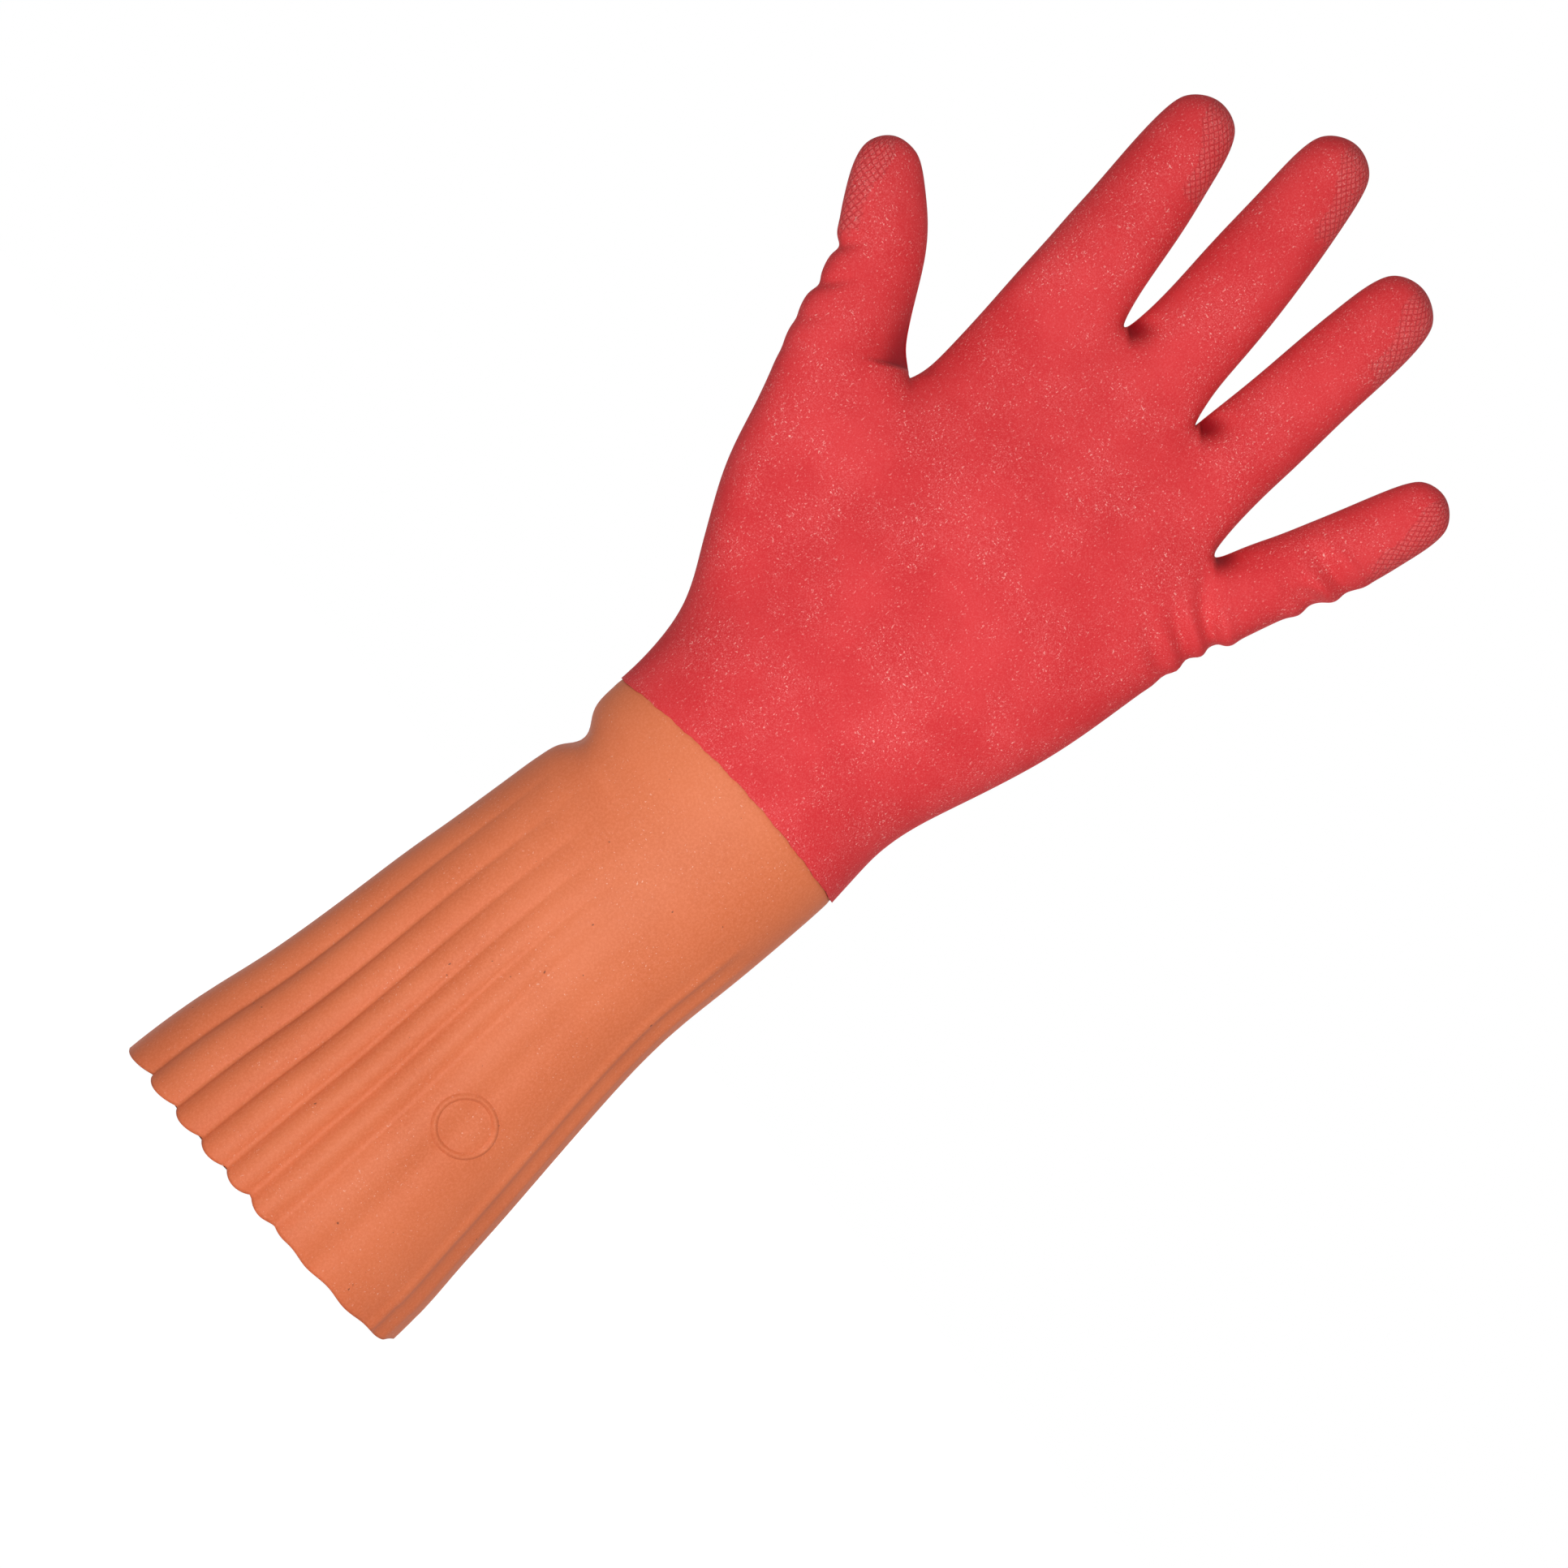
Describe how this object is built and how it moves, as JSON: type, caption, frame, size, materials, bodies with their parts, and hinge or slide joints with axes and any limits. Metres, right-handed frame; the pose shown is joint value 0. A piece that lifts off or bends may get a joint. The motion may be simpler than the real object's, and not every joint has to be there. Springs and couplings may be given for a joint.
{
  "type": "rubber work glove",
  "caption": "Flock-lined dipped rubber glove for a right hand: red hand on a flared, fluted orange cuff, parted at the wrist, knuckles, thumb and finger joints so that it bends.",
  "frame": {"origin": "middle of the glove's bounding box, in the plane of the hem that the glove stands on", "axes": "+Z from the hem to the fingertips, -X towards the thumb, -Y out of the back of the hand and +Y out of the palm"},
  "size_m": [0.1422, 0.06, 0.3234],
  "materials": {
    "red_rubber": "matte, with fine flock fibres",
    "orange_rubber": "satin, finely grained"
  },
  "bodies": {
    "cuff": {"cuff_sleeve": "orange_rubber", "size_ring": "orange_rubber", "wrist_fold": "orange_rubber"},
    "hand": {"hand_coat": "red_rubber"},
    "knuckles": {"knuckle_fold": "red_rubber", "knuckle_coat": "red_rubber"},
    "thumb_lower": {"thumb_root_fold": "red_rubber", "thumb_lower_coat": "red_rubber"},
    "thumb_tip": {"thumb_tip_fold": "red_rubber", "thumb_tip_coat": "red_rubber"},
    "index_lower": {"index_root_fold": "red_rubber", "index_lower_coat": "red_rubber"},
    "index_tip": {"index_tip_fold": "red_rubber", "index_tip_coat": "red_rubber"},
    "middle_lower": {"middle_root_fold": "red_rubber", "middle_lower_coat": "red_rubber"},
    "middle_tip": {"middle_tip_fold": "red_rubber", "middle_tip_coat": "red_rubber"},
    "ring_lower": {"ring_root_fold": "red_rubber", "ring_lower_coat": "red_rubber"},
    "ring_tip": {"ring_tip_fold": "red_rubber", "ring_tip_coat": "red_rubber"},
    "little_lower": {"little_root_fold": "red_rubber", "little_lower_coat": "red_rubber"},
    "little_tip": {"little_tip_fold": "red_rubber", "little_tip_coat": "red_rubber"}
  },
  "joints": [
    {"name": "wrist_bend", "type": "hinge", "parent": "cuff", "child": "hand", "pos_m": [0.01266, 0, 0.131], "axis": [-1, 0, 0], "range_deg": [-30, 30], "stiffness_Nm_per_rad": 0.5, "deforming": ["wrist_fold"]},
    {"name": "knuckle_bend", "type": "hinge", "parent": "hand", "child": "knuckles", "pos_m": [0.01266, 0.0065, 0.224], "axis": [-0.99, 0, 0.1409], "range_deg": [0, 60], "stiffness_Nm_per_rad": 0.15, "deforming": ["knuckle_fold"]},
    {"name": "thumb_root_bend", "type": "hinge", "parent": "hand", "child": "thumb_lower", "pos_m": [-0.04439, 0.003, 0.21753], "axis": [-0.8049, 0, -0.5934], "range_deg": [0, 40], "stiffness_Nm_per_rad": 0.04, "deforming": ["thumb_root_fold"]},
    {"name": "thumb_tip_bend", "type": "hinge", "parent": "thumb_lower", "child": "thumb_tip", "pos_m": [-0.05329, 0.003, 0.22961], "axis": [-0.8049, 0, -0.5934], "range_deg": [0, 60], "stiffness_Nm_per_rad": 0.02, "deforming": ["thumb_tip_fold"]},
    {"name": "index_root_bend", "type": "hinge", "parent": "knuckles", "child": "index_lower", "pos_m": [-0.0214, 0.003, 0.26948], "axis": [-0.9759, 0, -0.2181], "range_deg": [0, 80], "stiffness_Nm_per_rad": 0.02, "deforming": ["index_root_fold"]},
    {"name": "index_tip_bend", "type": "hinge", "parent": "index_lower", "child": "index_tip", "pos_m": [-0.02533, 0.003, 0.28705], "axis": [-0.9759, 0, -0.2181], "range_deg": [0, 60], "stiffness_Nm_per_rad": 0.01, "deforming": ["index_tip_fold"]},
    {"name": "middle_root_bend", "type": "hinge", "parent": "knuckles", "child": "middle_lower", "pos_m": [0.00389, 0.003, 0.27385], "axis": [-0.9877, 0, -0.1564], "range_deg": [0, 80], "stiffness_Nm_per_rad": 0.02, "deforming": ["middle_root_fold"]},
    {"name": "middle_tip_bend", "type": "hinge", "parent": "middle_lower", "child": "middle_tip", "pos_m": [-0.00018, 0.003, 0.29953], "axis": [-0.9877, 0, -0.1564], "range_deg": [0, 60], "stiffness_Nm_per_rad": 0.01, "deforming": ["middle_tip_fold"]},
    {"name": "ring_root_bend", "type": "hinge", "parent": "knuckles", "child": "ring_lower", "pos_m": [0.02983, 0.003, 0.2664], "axis": [-0.9997, 0, -0.0227], "range_deg": [0, 80], "stiffness_Nm_per_rad": 0.02, "deforming": ["ring_root_fold"]},
    {"name": "ring_tip_bend", "type": "hinge", "parent": "ring_lower", "child": "ring_tip", "pos_m": [0.02932, 0.003, 0.28889], "axis": [-0.9997, 0, -0.0227], "range_deg": [0, 60], "stiffness_Nm_per_rad": 0.01, "deforming": ["ring_tip_fold"]},
    {"name": "little_root_bend", "type": "hinge", "parent": "knuckles", "child": "little_lower", "pos_m": [0.05526, 0.003, 0.25372], "axis": [-0.9568, 0, 0.2907], "range_deg": [0, 80], "stiffness_Nm_per_rad": 0.02, "deforming": ["little_root_fold"]},
    {"name": "little_tip_bend", "type": "hinge", "parent": "little_lower", "child": "little_tip", "pos_m": [0.0602, 0.003, 0.26999], "axis": [-0.9568, 0, 0.2907], "range_deg": [0, 60], "stiffness_Nm_per_rad": 0.01, "deforming": ["little_tip_fold"]}
  ]
}
